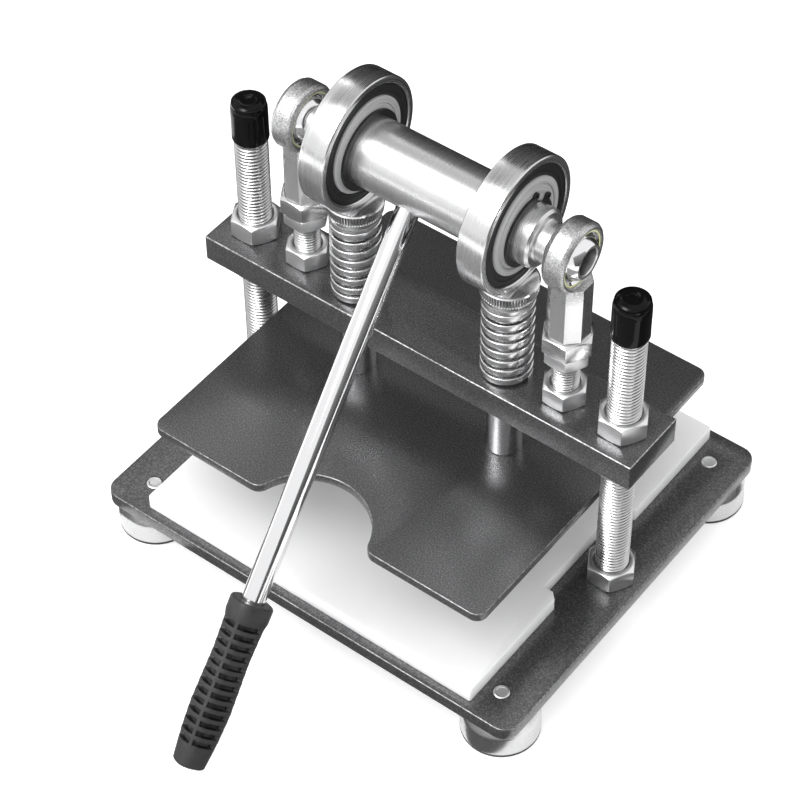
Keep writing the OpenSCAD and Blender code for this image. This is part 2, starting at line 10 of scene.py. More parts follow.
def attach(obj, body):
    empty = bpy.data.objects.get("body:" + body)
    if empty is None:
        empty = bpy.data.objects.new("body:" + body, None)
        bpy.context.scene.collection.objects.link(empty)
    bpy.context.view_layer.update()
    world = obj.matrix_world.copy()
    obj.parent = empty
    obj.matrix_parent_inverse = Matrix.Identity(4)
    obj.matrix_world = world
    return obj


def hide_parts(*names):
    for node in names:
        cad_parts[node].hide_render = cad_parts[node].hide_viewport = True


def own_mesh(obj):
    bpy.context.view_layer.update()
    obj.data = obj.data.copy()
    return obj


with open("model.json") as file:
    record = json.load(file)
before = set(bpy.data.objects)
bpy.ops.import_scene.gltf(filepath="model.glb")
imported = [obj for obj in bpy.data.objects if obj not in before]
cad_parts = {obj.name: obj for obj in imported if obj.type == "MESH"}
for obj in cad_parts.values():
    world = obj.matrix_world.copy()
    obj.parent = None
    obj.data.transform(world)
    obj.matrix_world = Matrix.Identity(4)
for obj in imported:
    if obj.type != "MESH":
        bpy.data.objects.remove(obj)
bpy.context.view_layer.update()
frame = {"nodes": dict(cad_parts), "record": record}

MM = 0.001
NODES = frame["nodes"]
BODIES = frame["record"]["behaviour"]["bodies"]
# Weld distance for doubled vertices, in metres
WELD = 2e-6

# Sizes in millimetres, in the CAD frame
BASE_W, BASE_D, BASE_BOTTOM, BASE_TOP, BASE_R = 300, 260, -19, -10, 10
BOARD_W, BOARD_D, BOARD_R = 238, 248, 1.5
NOTCH_HALF, NOTCH_DEEP, NOTCH_BEVEL = 38, 10, 4
FOOT_X, FOOT_Y, FOOT_R, FOOT_BOTTOM, PAD_BOTTOM = 129, 107.5, 23.45, -39.5, -41
FOOT_SCREW_R, FOOT_SCREW_L = 4.9, 24
POST_X, POST_R, POST_BOTTOM, POST_TOP, POST_PITCH = 130, 10, -35, 218, 2.5
STUD_X, STUD_R, STUD_BOTTOM, STUD_TOP, STUD_PITCH = 91, 8, 85, 189.3, 2
POST_NUT_W, POST_NUT_H = 27, 13.5
STUD_NUT_W, STUD_NUT_H, LOCK_NUT_H, LOCK_NUT_BOTTOM = 24, 12.5, 9.3, 150
BEAM_L, BEAM_D, BEAM_BOTTOM, BEAM_TOP = 301, 46, 100.5, 118.5
AXIS_Z, ROLLER_Z = 228.7, 231.7
ROD_X, ROD_Y, ROD_R, ROD_TOP = 53, -2.5, 11, 185.4
HEAD_BOTTOM, HEAD_TOP, HEAD_R, HEAD_FOOT_R = 178.4, 190.4, 17.2, 15.5
PLATEN_W, PLATEN_D, PLATEN_BOTTOM, PLATEN_TOP, PLATEN_R = 236, 230, 50, 56, 7
PLATEN_STROKE, PLATE_EASE = 5, 0.6
BEARING_IN, BEARING_OUT, BEARING_R = 44.5, 61.5, 41
LEVER_X, LEVER_R, LEVER_L, LEVER_DEEP, GRIP_L = -8.5, 7, 354.5, 10, 101
# Room round a shape that sits in a hole
CLOSE_FIT, LOOSE_FIT = 0.05, 0.15

# Turns of the lever and of the ridges on its grip, in degrees
LEVER_DROP, LEVER_LEAN, GRIP_RIDGE = 47, 2.9, -10

# Strength of the floor's glow, and of the sky as a light and as seen
FLOOR_GLOW, SKY_LIGHT, SKY_SEEN = 0.45, 1.1, 1


# Selection and edit mode
def leave_edit():
    if bpy.context.object is not None and bpy.context.object.mode != "OBJECT":
        bpy.ops.object.mode_set(mode="OBJECT")


def clear():
    leave_edit()
    bpy.ops.object.select_all(action="DESELECT")


def take(piece):
    clear()
    piece.select_set(True)
    bpy.context.view_layer.objects.active = piece


def edit(piece):
    take(piece)
    bpy.ops.object.mode_set(mode="EDIT")
    bpy.ops.mesh.select_all(action="SELECT")


def mm(*values):
    return tuple(value * MM for value in values)


def name_piece(piece, name):
    piece.name = name
    piece.data.name = name
    return piece


def pick(piece, kind, passes):
    """Selects the faces, edges or vertices that pass the test."""
    work = bmesh.from_edit_mesh(piece.data)
    bpy.ops.mesh.select_mode(type=kind)
    for item in {"FACE": work.faces, "EDGE": work.edges, "VERT": work.verts}[kind]:
        item.select = passes(item)
    work.select_flush_mode()
    bmesh.update_edit_mesh(piece.data)


def pick_faces(piece, wanted):
    """The test takes a face's centre in millimetres and its normal."""
    pick(piece, "FACE", lambda face: wanted(face.calc_center_median() / MM, face.normal))


def pick_edges(piece, wanted):
    """The test takes the two ends of an edge in millimetres."""
    pick(piece, "EDGE", lambda edge: wanted(edge.verts[0].co / MM, edge.verts[1].co / MM))


def pick_points(piece, wanted):
    """The test takes a vertex's place in millimetres."""
    pick(piece, "VERT", lambda point: wanted(point.co / MM))


# Ways of making a piece
def draw_line(name, points):
    """A chain of edges through points in millimetres, drawn one after another."""
    clear()
    bpy.ops.mesh.primitive_plane_add(size=MM)
    piece = name_piece(bpy.context.object, name)
    bpy.ops.object.mode_set(mode="EDIT")
    bpy.ops.mesh.select_mode(type="VERT")
    bpy.ops.mesh.select_all(action="SELECT")
    bpy.ops.mesh.merge(type="CENTER")
    bpy.ops.transform.translate(value=mm(*points[0]))
    for before, after in zip(points, points[1:]):
        step = Vector(mm(*after)) - Vector(mm(*before))
        bpy.ops.mesh.extrude_vertices_move(TRANSFORM_OT_translate={"value": step})
    leave_edit()
    return piece


def seal_mesh(piece):
    """Merges doubled vertices and turns every face outwards."""
    edit(piece)
    bpy.ops.mesh.remove_doubles(threshold=WELD)
    bpy.ops.mesh.normals_make_consistent(inside=False)
    leave_edit()
    return piece


def turned(name, profile, centre=(0, 0, 0), along="Z", steps=96):
    """A lathe piece: a profile of (radius, distance along the axis) spun round its axis."""
    x, y, z = centre
    if along == "Z":
        points = [(x + radius, y, z + far) for radius, far in profile]
        axis = (0, 0, 1)
    else:
        points = [(x + far, y, z + radius) for radius, far in profile]
        axis = (1, 0, 0)
    piece = draw_line(name, points)
    edit(piece)
    bpy.ops.mesh.remove_doubles(threshold=WELD)
    bpy.ops.mesh.select_all(action="SELECT")
    bpy.ops.mesh.spin(steps=steps, angle=2 * math.pi, center=mm(*centre), axis=axis)
    leave_edit()
    return seal_mesh(piece)


def eased(points, size, closed=False):
    """A profile with each inner corner cut back and rounded by up to the given size."""
    last, most = len(points), 0.45
    result = []
    for i, point in enumerate(points):
        if not closed and i in (0, last - 1):
            result.append(point)
            continue
        here = Vector(point)
        before = Vector(points[i - 1]) - here
        after = Vector(points[(i + 1) % last]) - here
        reach = min(size, most * before.length, most * after.length)
        start = here + before.normalized() * reach
        stop = here + after.normalized() * reach
        for t in (0, 0.3, 0.7, 1):
            spot = start * (1 - t) ** 2 + here * 2 * t * (1 - t) + stop * t ** 2
            result.append(tuple(spot))
    if closed:
        result.append(result[0])
    return result


def ring_profile(r_in, r_out, low, high, ease):
    """The closed profile of a ring with eased corners."""
    corners = [(r_in, low), (r_out, low), (r_out, high), (r_in, high)]
    return eased(corners, ease, closed=True)


def arc(x, y, radius, start, stop, steps):
    """Points on an arc from one angle to another, in degrees."""
    turn = [math.radians(start + (stop - start) * i / steps) for i in range(steps + 1)]
    return [(x + radius * math.cos(a), y + radius * math.sin(a)) for a in turn]


def slab(name, outline, bottom, top, edge):
    """A plate: its outline drawn, filled, raised and eased along its upper and lower edges."""
    closed = outline + [outline[0]]
    piece = draw_line(name, [(x, y, bottom) for x, y in closed])
    edit(piece)
    bpy.ops.mesh.remove_doubles(threshold=WELD)
    bpy.ops.mesh.select_all(action="SELECT")
    bpy.ops.mesh.edge_face_add()
    rise = {"value": mm(0, 0, top - bottom)}
    bpy.ops.mesh.extrude_region_move(TRANSFORM_OT_translate=rise)
    bpy.ops.mesh.select_all(action="SELECT")
    bpy.ops.mesh.normals_make_consistent(inside=False)
    pick_edges(piece, lambda a, b: abs(a.z - b.z) < 0.01)
    bpy.ops.mesh.bevel(offset=edge * MM, segments=3, affect="EDGES", clamp_overlap=True)
    leave_edit()
    return piece


def box_outline(width, depth, radius, steps=8):
    w, d = width / 2 - radius, depth / 2 - radius
    return (arc(-w, -d, radius, 180, 270, steps) + arc(w, -d, radius, 270, 360, steps)
            + arc(w, d, radius, 0, 90, steps) + arc(-w, d, radius, 90, 180, steps))


def use_modifier(piece, kind, **settings):
    take(piece)
    modifier = piece.modifiers.new(kind.lower(), kind)
    for key, value in settings.items():
        setattr(modifier, key, value)
    bpy.ops.object.modifier_apply(modifier=modifier.name)
    return piece


def join_shapes(piece, other, way):
    """Unites a piece with another, cuts the other out of it, or keeps what both share."""
    use_modifier(piece, "BOOLEAN", operation=way, object=other, solver="EXACT")
    bpy.data.objects.remove(other, do_unlink=True)
    return seal_mesh(piece)


def soften(piece, width, segments=2, angle=30):
    return use_modifier(piece, "BEVEL", width=width * MM, segments=segments, limit_method="ANGLE",
                        angle_limit=math.radians(angle), use_clamp_overlap=True)


def drum(name, sides, radius, centre, height, turn=0):
    """A prism standing on its centre point, as a start for a piece."""
    clear()
    x, y, z = centre
    bpy.ops.mesh.primitive_cylinder_add(vertices=sides, radius=radius * MM, depth=height * MM,
                                        location=mm(x, y, z + height / 2),
                                        rotation=(0, 0, math.radians(turn)))
    piece = name_piece(bpy.context.object, name)
    settle(piece)
    return piece


def settle(piece, matrix=None):
    """Moves a piece by a matrix and puts its place into its mesh."""
    take(piece)
    if matrix is not None:
        piece.matrix_world = matrix @ piece.matrix_world
    bpy.ops.object.transform_apply(location=True, rotation=True, scale=True)
    bpy.context.view_layer.update()
    return piece


def copy_of(piece, name, shift):
    take(piece)
    bpy.ops.object.duplicate()
    twin = name_piece(bpy.context.object, name)
    return settle(twin, Matrix.Translation(mm(*shift)))


def body_of(node):
    return next(body for body, nodes in BODIES.items() if node in nodes)


def dress(piece, finish, slot, *nodes, smooth=38):
    """Gives a piece its finish and lets it stand for CAD nodes on their body. Its slot is not used."""
    take(piece)
    bpy.ops.object.shade_smooth_by_angle(angle=math.radians(smooth))
    if finish.name not in piece.data.materials:
        piece.data.materials.clear()
        piece.data.materials.append(finish)
    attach(piece, body_of(nodes[0]))
    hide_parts(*nodes)
    return piece


def dress_both(piece, twin_name, x, finish, slot, node, twin_node, smooth=38):
    """Dresses a piece that stands at minus x and a twin of it at plus x."""
    twin = copy_of(piece, twin_name, (2 * x, 0, 0))
    dress(piece, finish, slot, node, smooth=smooth)
    dress(twin, finish, slot, twin_node, smooth=smooth)
    return twin


def part_finish(piece, finish, wanted):
    """Gives the faces that pass the test a finish of their own."""
    piece.data.materials.append(finish)
    edit(piece)
    pick_faces(piece, wanted)
    piece.active_material_index = len(piece.data.materials) - 1
    bpy.ops.object.material_slot_assign()
    leave_edit()


def paint_nodes(finish, *nodes):
    """Gives CAD nodes that stay in view their finish."""
    for node in nodes:
        mesh = NODES[node].data
        mesh.materials.clear()
        mesh.materials.append(finish)


# Finishes
def grey(value):
    return (value, value, value)


def start_finish(name, colour, **sockets):
    """A finish with a base colour and with sockets of its shader set by name."""
    material = bpy.data.materials.new(name)
    material.use_nodes = True
    tree = material.node_tree
    shader = tree.nodes["Principled BSDF"]
    shader.inputs["Base Color"].default_value = (*colour, 1)
    for socket, value in sockets.items():
        shader.inputs[socket.replace("_", " ").title().replace("Ior", "IOR")].default_value = value
    return material, tree, shader


def place(tree, stretch=(1, 1, 1)):
    """Object coordinates, stretched along each axis."""
    coords = tree.nodes.new("ShaderNodeTexCoord")
    mapping = tree.nodes.new("ShaderNodeMapping")
    mapping.inputs["Scale"].default_value = stretch
    tree.links.new(coords.outputs["Object"], mapping.inputs["Vector"])
    return mapping.outputs["Vector"]


def grain(tree, per_metre, detail=2, stretch=(1, 1, 1), where=None):
    noise = tree.nodes.new("ShaderNodeTexNoise")
    noise.inputs["Scale"].default_value = per_metre
    noise.inputs["Detail"].default_value = detail
    tree.links.new(where or place(tree, stretch), noise.inputs["Vector"])
    return noise.outputs["Fac"]


def spread(tree, source, low_in, high_in, low, high):
    """A value brought from one range to another."""
    span = tree.nodes.new("ShaderNodeMapRange")
    tree.links.new(source, span.inputs["Value"])
    ends = {"From Min": low_in, "From Max": high_in, "To Min": low, "To Max": high}
    for socket, value in ends.items():
        span.inputs[socket].default_value = value
    return span.outputs["Result"]


def reckon(tree, operation, first, second):
    """Reckons with an output and a second output or number."""
    node = tree.nodes.new("ShaderNodeMath")
    node.operation = operation
    tree.links.new(first, node.inputs[0])
    if isinstance(second, (int, float)):
        node.inputs[1].default_value = second
    else:
        tree.links.new(second, node.inputs[1])
    return node.outputs["Value"]


def object_axes(tree):
    """The three object coordinates, each an output of its own."""
    coords = tree.nodes.new("ShaderNodeTexCoord")
    split = tree.nodes.new("ShaderNodeSeparateXYZ")
    tree.links.new(coords.outputs["Object"], split.inputs["Vector"])
    return split.outputs


def tint(tree, shader, share, first, second):
    """Base colour that goes from the first colour to the second with the share."""
    mix = tree.nodes.new("ShaderNodeMix")
    mix.data_type = "RGBA"
    mix.inputs["A"].default_value = (*first, 1)
    mix.inputs["B"].default_value = (*second, 1)
    tree.links.new(share, mix.inputs["Factor"])
    tree.links.new(mix.outputs["Result"], shader.inputs["Base Color"])


def rough(tree, shader, source, low, high):
    """Roughness that goes from low to high with the middle range of a noise."""
    tree.links.new(spread(tree, source, 0.3, 0.7, low, high), shader.inputs["Roughness"])


def emboss(tree, shader, height, depth, strength):
    bump = tree.nodes.new("ShaderNodeBump")
    bump.inputs["Strength"].default_value = strength
    bump.inputs["Distance"].default_value = depth * MM
    tree.links.new(height, bump.inputs["Height"])
    tree.links.new(bump.outputs["Normal"], shader.inputs["Normal"])


def from_axis(tree, first, first_at, second, second_at):
    """Distance from an axis, or the nearer of a mirrored pair, given by its place in millimetres."""
    axes = object_axes(tree)
    flat = tree.nodes.new("ShaderNodeCombineXYZ")
    for letter, at, socket in ((first, first_at, "X"), (second, second_at, "Y")):
        size = reckon(tree, "ABSOLUTE", axes[letter], 0)
        tree.links.new(reckon(tree, "SUBTRACT", size, at * MM), flat.inputs[socket])
    reach = tree.nodes.new("ShaderNodeVectorMath")
    reach.operation = "LENGTH"
    tree.links.new(flat.outputs["Vector"], reach.inputs[0])
    return reach.outputs["Value"], axes["X"]


def lathe_lines(tree, height, per_metre):
    """Fine turning lines round an axis along X at the given height."""
    reach, along = from_axis(tree, "Y", 0, "Z", height)
    lines = tree.nodes.new("ShaderNodeCombineXYZ")
    tree.links.new(along, lines.inputs["X"])
    tree.links.new(reach, lines.inputs["Y"])
    return grain(tree, per_metre, 3, where=lines.outputs["Vector"])


def make_powder_coat():
    finish, tree, shader = start_finish("plate_powder_coat", (0.12, 0.12, 0.122), metallic=0.76,
                                        roughness=0.28)
    flecks = grain(tree, 1250, 3)
    cloud = grain(tree, 40, 3)
    tint(tree, shader, spread(tree, flecks, 0.45, 0.75, 0, 1), (0.1, 0.1, 0.102), (0.26, 0.26, 0.262))
    rough(tree, shader, cloud, 0.26, 0.31)
    emboss(tree, shader, grain(tree, 1000, 2), 0.05, 0.26)
    return finish


def make_edge_highlight_coat(name, dull, bright):
    """The same coat painted brighter along the eased edges of a plate, as a painted highlight."""
    finish, tree, shader = start_finish(name, grey(bright), metallic=0.9, roughness=0.35)
    share = spread(tree, grain(tree, 600, 3), 0.35, 0.65, 0, 1)
    tint(tree, shader, share, grey(dull), grey(bright))
    rough(tree, shader, grain(tree, 300, 2), 0.3, 0.45)
    return finish


def make_board_white():
    finish, tree, shader = start_finish("white_board", grey(0.84), roughness=0.45,
                                        subsurface_weight=0.4, subsurface_scale=0.006)
    shader.inputs["Subsurface Radius"].default_value = (1, 1, 1)
    tint(tree, shader, grain(tree, 25, 4), (0.82, 0.82, 0.825), grey(0.87))
    rough(tree, shader, grain(tree, 300, 3), 0.4, 0.55)
    emboss(tree, shader, grain(tree, 900, 3), 0.03, 0.15)
    return finish


def make_chrome():
    finish, tree, shader = start_finish("bright_chrome", (0.86, 0.86, 0.87), metallic=1, roughness=0.1)
    rough(tree, shader, grain(tree, 60, 4), 0.07, 0.16)
    emboss(tree, shader, grain(tree, 500, 2), 0.004, 0.03)
    return finish


def make_zinc(name, light, sheen):
    finish, tree, shader = start_finish(name, grey(light), metallic=1, roughness=sheen)
    dim = 0.92 * light
    tint(tree, shader, grain(tree, 90, 3), (dim, dim, 1.01 * dim), grey(light))
    rough(tree, shader, grain(tree, 70, 3), sheen - 0.05, sheen + 0.05)
    return finish


def make_thread_zinc_root_shade(name, axis_x, root, crest):
    """Dull zinc with painted shade: dark down in the thread roots, lighter towards the crests."""
    finish, tree, shader = start_finish(name, grey(0.84), metallic=1, roughness=0.26)
    reach = from_axis(tree, "X", axis_x, "Y", 0)[0]
    share = spread(tree, reach, root * MM, crest * MM, 0, 1)
    tint(tree, shader, share, grey(0.06), grey(0.64))
    rough(tree, shader, grain(tree, 70, 3), 0.22, 0.32)
    return finish


def make_ground_steel(name, height, sheen):
    finish, tree, shader = start_finish(name, (0.74, 0.74, 0.75), metallic=1, roughness=sheen)
    lines = lathe_lines(tree, height, 2600)
    tint(tree, shader, grain(tree, 50, 4), (0.68, 0.68, 0.69), grey(0.8))
    rough(tree, shader, lines, sheen - 0.06, sheen + 0.06)
    emboss(tree, shader, lines, 0.005, 0.15)
    return finish


def make_turned_grey(name, height):
    finish, tree, shader = start_finish(name, (0.72, 0.72, 0.73), metallic=0.2, roughness=0.45)
    lines = lathe_lines(tree, height, 1800)
    tint(tree, shader, spread(tree, lines, 0.3, 0.7, 0, 1), (0.34, 0.34, 0.35), grey(0.58))
    rough(tree, shader, lines, 0.4, 0.55)
    emboss(tree, shader, lines, 0.02, 0.3)
    return finish


def make_blasted_steel():
    """Blasted on the eye, smoother down the shank."""
    finish, tree, shader = start_finish("blasted_steel", grey(0.78), metallic=1, roughness=0.3)
    shank_top, eye_low = 200 * MM, 212 * MM
    eye = spread(tree, object_axes(tree)["Z"], shank_top, eye_low, 0.12, 1)
    pits = spread(tree, grain(tree, 1150, 3), 0.35, 0.65, 0, 1)
    grit = reckon(tree, "MULTIPLY", pits, eye)
    tint(tree, shader, grit, grey(0.74), (0.36, 0.36, 0.37))
    tree.links.new(spread(tree, eye, 0, 1, 0.2, 0.36), shader.inputs["Roughness"])
    emboss(tree, shader, grit, 0.16, 0.5)
    return finish


def make_liner():
    finish, tree, shader = start_finish("liner_polymer", (0.7, 0.72, 0.42), roughness=0.5)
    tint(tree, shader, grain(tree, 500, 3), (0.62, 0.63, 0.36), (0.78, 0.79, 0.5))
    emboss(tree, shader, grain(tree, 1200, 2), 0.02, 0.2)
    return finish


def make_black_steel():
    finish, tree, shader = start_finish("black_steel", (0.02, 0.02, 0.021), metallic=0.4, roughness=0.35)
    tint(tree, shader, grain(tree, 400, 3), (0.012, 0.012, 0.013), (0.035, 0.035, 0.036))
    rough(tree, shader, grain(tree, 600, 2), 0.28, 0.45)
    return finish


def make_seal_rubber():
    finish, tree, shader = start_finish("seal_rubber", (0.015, 0.015, 0.016), roughness=0.42,
                                        specular_ior_level=0.2)
    lines = lathe_lines(tree, ROLLER_Z, 900)
    tint(tree, shader, lines, (0.01, 0.01, 0.011), (0.03, 0.03, 0.031))
    emboss(tree, shader, lines, 0.06, 0.5)
    return finish


def make_vinyl():
    finish, tree, shader = start_finish("gloss_vinyl", grey(0.004), roughness=0.1,
                                        specular_ior_level=0.13)
    rough(tree, shader, grain(tree, 90, 3), 0.06, 0.13)
    emboss(tree, shader, grain(tree, 120, 2), 0.08, 0.2)
    return finish


def make_rubber(name, dark, light):
    finish, tree, shader = start_finish(name, grey(dark), roughness=0.45)
    tint(tree, shader, grain(tree, 700, 3), grey(dark), grey(light))
    rough(tree, shader, grain(tree, 500, 3), 0.38, 0.52)
    emboss(tree, shader, grain(tree, 1800, 2), 0.03, 0.3)
    return finish


def make_brass():
    finish, tree, shader = start_finish("cage_brass", (0.6, 0.42, 0.16), metallic=1, roughness=0.35)
    rough(tree, shader, grain(tree, 500, 3), 0.28, 0.45)
    return finish


powder_coat = make_powder_coat()
# Brighter coats for the plates' eased edges: a painted highlight
beam_edge_highlight = make_edge_highlight_coat("beam_edge_highlight", 0.22, 0.6)
plate_edge_highlight = make_edge_highlight_coat("plate_edge_highlight", 0.13, 0.36)
board_white = make_board_white()
chrome = make_chrome()
zinc = make_zinc("bright_zinc", 0.84, 0.24)
nut_zinc = make_zinc("nut_zinc", 0.88, 0.35)
foot_zinc = make_zinc("foot_zinc", 0.6, 0.28)
spring_zinc = make_zinc("spring_zinc", 0.8, 0.27)
# Thread zinc with painted shade down in the thread roots
post_zinc_root_shade = make_thread_zinc_root_shade("post_zinc_root_shade", POST_X, POST_R - 1.2, POST_R - 0.4)
stud_zinc_root_shade = make_thread_zinc_root_shade("stud_zinc_root_shade", STUD_X, STUD_R - 0.95, STUD_R - 0.3)
# Dark steel for the balls' bores, also used as painted shade in the knurl's valleys
bore_steel_and_knurl_shade = make_zinc("bore_steel_and_knurl_shade", 0.3, 0.36)
shaft_steel = make_ground_steel("shaft_steel", AXIS_Z, 0.3)
race_steel = make_ground_steel("race_steel", ROLLER_Z, 0.24)
bush_grey = make_turned_grey("bush_grey", ROLLER_Z)
blasted_steel = make_blasted_steel()
liner_polymer = make_liner()
black_steel = make_black_steel()
seal_rubber = make_seal_rubber()
vinyl = make_vinyl()
rubber = make_rubber("grip_rubber", 0.014, 0.034)
# Darker rubber for painted shade on the grip's slot floors
slot_shade_rubber = make_rubber("slot_shade_rubber", 0.002, 0.006)
brass = make_brass()


# Camera at the photograph's view
def aim_camera():
    place_m, lens_mm, sensor_mm = (0.63482, -0.85410, 1.22376), 121.216, 36
    azimuth, elevation, roll = math.radians(37.662), math.radians(47.687), math.radians(-0.527)
    back = Vector((math.sin(azimuth) * math.cos(elevation), -math.cos(azimuth) * math.cos(elevation),
                   math.sin(elevation)))
    side = Vector((math.cos(azimuth), math.sin(azimuth), 0))
    over = back.cross(side)
    right = math.cos(roll) * side + math.sin(roll) * over
    up = -math.sin(roll) * side + math.cos(roll) * over
    lens = bpy.data.cameras.new("photo_camera")
    lens.sensor_fit = "HORIZONTAL"
    lens.sensor_width = sensor_mm
    lens.lens = lens_mm
    lens.clip_start = 0.01
    camera = bpy.data.objects.new("photo_camera", lens)
    bpy.context.scene.collection.objects.link(camera)
    turn = Matrix((right, up, back)).transposed().to_4x4()
    camera.matrix_world = Matrix.Translation(place_m) @ turn
    bpy.context.scene.camera = camera


aim_camera()


# Base plate, beam, board and platen
def bore(plate, places, radius, bottom, top):
    """Drills holes through a plate from its underside to its top."""
    for x, y in places:
        drill = drum("bore", 96, radius, (x, y, bottom - 1), top - bottom + 2)
        join_shapes(plate, drill, "DIFFERENCE")


def paint_edge_highlight(plate, coat):
    """Gives the brighter coat, a painted highlight, to the eased edges of a plate, which neither lie flat
    nor stand upright.
    """
    part_finish(plate, coat, lambda c, normal: 0.1 < abs(normal.z) < 0.98)


def make_base():
    base = slab("base_plate_coated", box_outline(BASE_W, BASE_D, BASE_R), BASE_BOTTOM, BASE_TOP, PLATE_EASE)
    bore(base, [(-POST_X, 0), (POST_X, 0)], POST_R + LOOSE_FIT, BASE_BOTTOM, BASE_TOP)
    feet = [(x, y) for x in (-FOOT_X, FOOT_X) for y in (-FOOT_Y, FOOT_Y)]
    bore(base, feet, FOOT_SCREW_R + LOOSE_FIT, BASE_BOTTOM, BASE_TOP)
    dress(base, powder_coat, "plate_paint", "base_plate")
    paint_edge_highlight(base, plate_edge_highlight)


def make_beam():
    corner_r, corner_steps = 0.8, 2
    outline = box_outline(BEAM_L, BEAM_D, corner_r, corner_steps)
    beam = slab("beam_coated", outline, BEAM_BOTTOM, BEAM_TOP, PLATE_EASE)
    holes = [(POST_X, 0, POST_R + CLOSE_FIT), (STUD_X, 0, STUD_R + LOOSE_FIT),
             (ROD_X, ROD_Y, ROD_R + CLOSE_FIT)]
    for x, y, radius in holes:
        bore(beam, [(-x, y), (x, y)], radius, BEAM_BOTTOM, BEAM_TOP)
    dress(beam, powder_coat, "plate_paint", "beam")
    paint_edge_highlight(beam, beam_edge_highlight)


def make_board():
    w, d, r = BOARD_W / 2, BOARD_D / 2, BOARD_R
    notch, mouth = w - NOTCH_DEEP, NOTCH_HALF + NOTCH_BEVEL
    half = (arc(w - r, -d + r, r, 270, 360, 3)
            + [(w, -mouth), (w - NOTCH_BEVEL, -NOTCH_HALF), (notch, -NOTCH_HALF),
               (notch, NOTCH_HALF), (w - NOTCH_BEVEL, NOTCH_HALF), (w, mouth)]
            + arc(w - r, d - r, r, 0, 90, 3))
    board = slab("cutting_board_white", half + [(-x, -y) for x, y in half], BASE_TOP, 0, 0.5)
    dress(board, board_white, "board", "cutting_board")


def make_platen():
    w, d, r = PLATEN_W / 2, PLATEN_D / 2, PLATEN_R
    cut_y, cut_r, lip_r = -121.5, 38.5, 8
    lip_x, lip_y = 44.18, -d + lip_r
    lean = math.degrees(math.atan2(lip_y - cut_y, lip_x))
    outline = (arc(-w + r, -d + r, r, 180, 270, 8)
               + arc(-lip_x, lip_y, lip_r, 270, 360 - lean, 10)
               + arc(0, cut_y, cut_r, 180 - lean, lean, 48)[1:-1]
               + arc(lip_x, lip_y, lip_r, 180 + lean, 270, 10)
               + arc(w - r, -d + r, r, 270, 360, 8) + arc(w - r, d - r, r, 0, 90, 8)
               + arc(-w + r, d - r, r, 90, 180, 8))
    platen = slab("platen_coated", outline, PLATEN_BOTTOM, PLATEN_TOP, PLATE_EASE)
    screw_r, sink_r, sink_h = 4.15, 8.15, 4
    sink = [(0, PLATEN_BOTTOM - 1), (sink_r + 1, PLATEN_BOTTOM - 1), (screw_r, PLATEN_BOTTOM + sink_h),
            (screw_r, PLATEN_TOP + 1), (0, PLATEN_TOP + 1)]
    for x in (-ROD_X, ROD_X):
        join_shapes(platen, turned("countersink", sink, (x, ROD_Y, 0), steps=64), "DIFFERENCE")
    dress(platen, powder_coat, "plate_paint", "platen")
    paint_edge_highlight(platen, plate_edge_highlight)


make_base()
make_beam()
make_board()
make_platen()


# Threaded posts and studs
def trim_ends(piece, low, high):
    """Cuts a piece off flat at two heights and closes its ends."""
    edit(piece)
    for height, waste in ((low, "clear_inner"), (high, "clear_outer")):
        bpy.ops.mesh.select_all(action="SELECT")
        bpy.ops.mesh.bisect(plane_co=mm(0, 0, height), plane_no=(0, 0, 1), use_fill=True,
                            threshold=1e-7, **{waste: True})
    leave_edit()


def threaded_bar(name, x, radius, pitch, bottom, top):
    """One pitch of thread drawn as a line, screwed up the bar and cut off at both ends."""
    depth, crest = 0.55 * pitch, 0.14 * pitch
    low = bottom - 2 * pitch
    middle = low + 0.5 * pitch
    line = [(radius - depth, 0, low), (radius, 0, middle - crest), (radius, 0, middle + crest),
            (radius - depth, 0, low + pitch)]
    piece = draw_line(name, line)
    use_modifier(piece, "SCREW", angle=2 * math.pi, screw_offset=pitch * MM,
                 iterations=int((top - low) / pitch) + 3, steps=40, render_steps=40,
                 use_merge_vertices=True, merge_threshold=WELD)
    seal_mesh(piece)
    trim_ends(piece, bottom, top)
    edit(piece)
    bpy.ops.mesh.normals_make_consistent(inside=False)
    leave_edit()
    return settle(piece, Matrix.Translation(mm(x, 0, 0)))


def make_threads():
    inset = 0.02
    post = threaded_bar("post_thread_left", -POST_X, POST_R - inset, POST_PITCH, POST_BOTTOM, POST_TOP)
    dress_both(post, "post_thread_right", POST_X, post_zinc_root_shade, "zinc", "left_post", "right_post", smooth=50)
    stud = threaded_bar("stud_thread_left", -STUD_X, STUD_R - inset, STUD_PITCH, STUD_BOTTOM, STUD_TOP)
    dress_both(stud, "stud_thread_right", STUD_X, stud_zinc_root_shade, "zinc", "studs", "studs", smooth=50)


make_threads()


# Nuts
def hexagon(name, across, height):
    """A hexagon with both rims turned to a chamfer."""
    corner = across / math.sqrt(3)
    piece = drum(name, 6, corner, (0, 0, -2), height + 4, 30)
    rim = 0.96 * across / 2
    rise = (corner - rim) * math.tan(math.radians(30))
    barrel = turned(name + "_barrel", [(0, 0), (rim, 0), (corner + 0.01, rise),
                                       (corner + 0.01, height - rise), (rim, height), (0, height)])
    return join_shapes(piece, barrel, "INTERSECT")


def make_nut(name, across, height, thread_r):
    nut = hexagon(name, across, height)
    hole_r, flare = thread_r + CLOSE_FIT, 0.9
    mouth = hole_r + flare
    hole = turned(name + "_hole", [(0, -1), (mouth + 1, -1), (hole_r, flare), (hole_r, height - flare),
                                   (mouth + 1, height + 1), (0, height + 1)])
    join_shapes(nut, hole, "DIFFERENCE")
    return soften(nut, 0.3, 2, 25)


